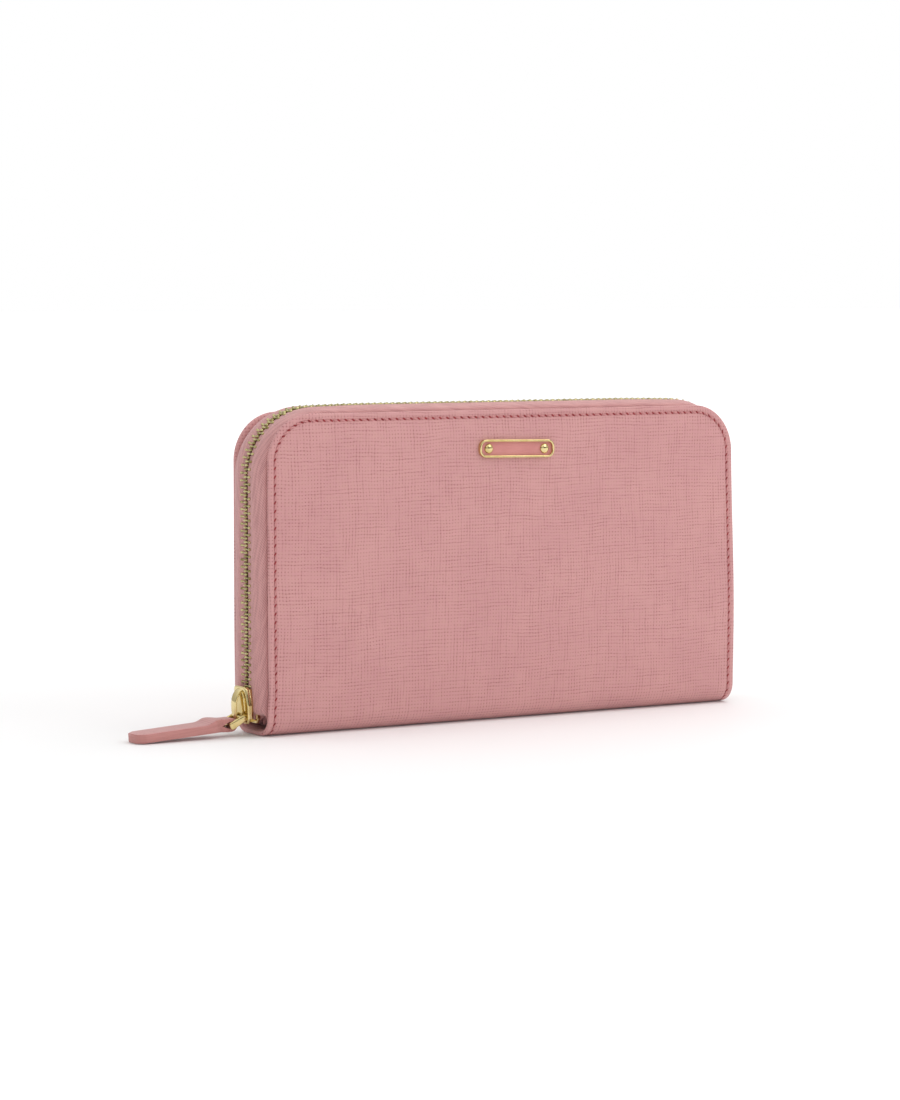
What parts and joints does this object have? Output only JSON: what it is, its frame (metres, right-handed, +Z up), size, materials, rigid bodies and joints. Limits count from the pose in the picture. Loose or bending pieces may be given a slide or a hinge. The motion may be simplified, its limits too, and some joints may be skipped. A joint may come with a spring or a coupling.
{
  "type": "wallet",
  "caption": "Zip-around leather wallet with card slots, a zipped coin pocket, pleated ends, a metal nameplate and a leather zip pull.",
  "frame": {"origin": "middle of the flat base, on the surface the wallet stands on", "axes": "+X along the width, away from the end where the closed zip's slider rests; +Y from the front cover to the back cover; +Z up"},
  "size_m": [0.2337, 0.0258, 0.1082],
  "materials": {
    "leather": "fine cross-grain, semi-matt",
    "pull_leather": "fine cross-grain, semi-matt, painted edges",
    "card_leather": "smooth, semi-matt",
    "lining": "fine weave",
    "board": "pressed board",
    "thread": "waxed thread",
    "tape": "twill weave",
    "brass": "tumbled",
    "gold": "polished",
    "inlay": "satin lacquer"
  },
  "bodies": {
    "back_cover": {"back_leather": "leather", "front_fold_leather": "leather", "back_board": "board", "spine_board": "board", "back_lining": "lining", "spine_lining": "lining", "back_card_leaf_1": "card_leather", "back_card_leaf_2": "card_leather", "back_card_leaf_3": "card_leather", "back_card_leaf_4": "card_leather", "back_cover_stitching": "thread", "back_zip_tape": "tape", "front_tape_end_left": "tape", "front_tape_end_right": "tape", "back_zip_teeth": "brass", "front_teeth_end_left": "brass", "front_teeth_end_right": "brass", "zip_stop_left": "brass", "zip_stop_right": "brass", "left_gusset": "lining", "right_gusset": "lining"},
    "front_cover": {"front_cover_leather": "leather", "front_board": "board", "front_lining": "lining", "front_card_leaf_1": "card_leather", "front_card_leaf_2": "card_leather", "front_card_leaf_3": "card_leather", "front_card_leaf_4": "card_leather", "front_cover_stitching": "thread", "front_zip_tape": "tape", "front_zip_teeth": "brass", "nameplate_frame": "gold", "nameplate_inlay": "inlay", "nameplate_rivet_left": "gold", "nameplate_rivet_right": "gold"},
    "coin_pocket": {"coin_front_panel": "card_leather", "coin_back_panel": "card_leather", "coin_frame": "card_leather", "coin_front_tape": "tape", "coin_back_tape": "tape", "coin_front_teeth": "brass", "coin_back_teeth": "brass", "coin_stop_left": "brass", "coin_stop_right": "brass"},
    "coin_slider": {"coin_slider": "gold"},
    "coin_pull": {"coin_pull": "gold"},
    "zip_slider": {"zip_slider_body": "gold", "zip_slider_bridge": "gold"},
    "zip_link": {"zip_link": "gold"},
    "zip_pull": {"zip_pull": "pull_leather"}
  },
  "joints": [
    {"name": "front_cover_hinge", "type": "hinge", "parent": "back_cover", "child": "front_cover", "pos_m": [0, -0.005, 0.007], "axis": [1, 0, 0], "range_deg": [0, 50], "deforming": ["front_fold_leather", "left_gusset", "right_gusset", "front_tape_end_left", "front_tape_end_right"]},
    {"name": "coin_pocket_hinge", "type": "hinge", "parent": "back_cover", "child": "coin_pocket", "pos_m": [0, 0, 0.006], "axis": [1, 0, 0], "range_deg": [0, 25]},
    {"name": "coin_zip_slide", "type": "slide", "parent": "coin_pocket", "child": "coin_slider", "axis": [1, 0, 0], "range_m": [0, 0.155]},
    {"name": "coin_pull_hinge", "type": "hinge", "parent": "coin_slider", "child": "coin_pull", "pos_m": [-0.0791, 0, 0.0838], "axis": [0, -1, 0], "range_deg": [0, 140]},
    {"name": "zip_slide", "type": "slide", "parent": "back_cover", "child": "zip_slider", "axis": [0, 0, 1], "range_m": [0, 0.07]},
    {"name": "zip_link_hinge", "type": "hinge", "parent": "zip_slider", "child": "zip_link", "pos_m": [-0.09875, 0, 0.0058], "axis": [0, 1, 0], "range_deg": [-20, 40]},
    {"name": "zip_pull_hinge", "type": "hinge", "parent": "zip_link", "child": "zip_pull", "pos_m": [-0.10246, 0, 0.00383], "axis": [0, 1, 0], "range_deg": [-50, 30]}
  ],
  "couplings": [
    {"joint": "coin_pocket_hinge", "follows": "front_cover_hinge", "ratio": 0.5}
  ]
}
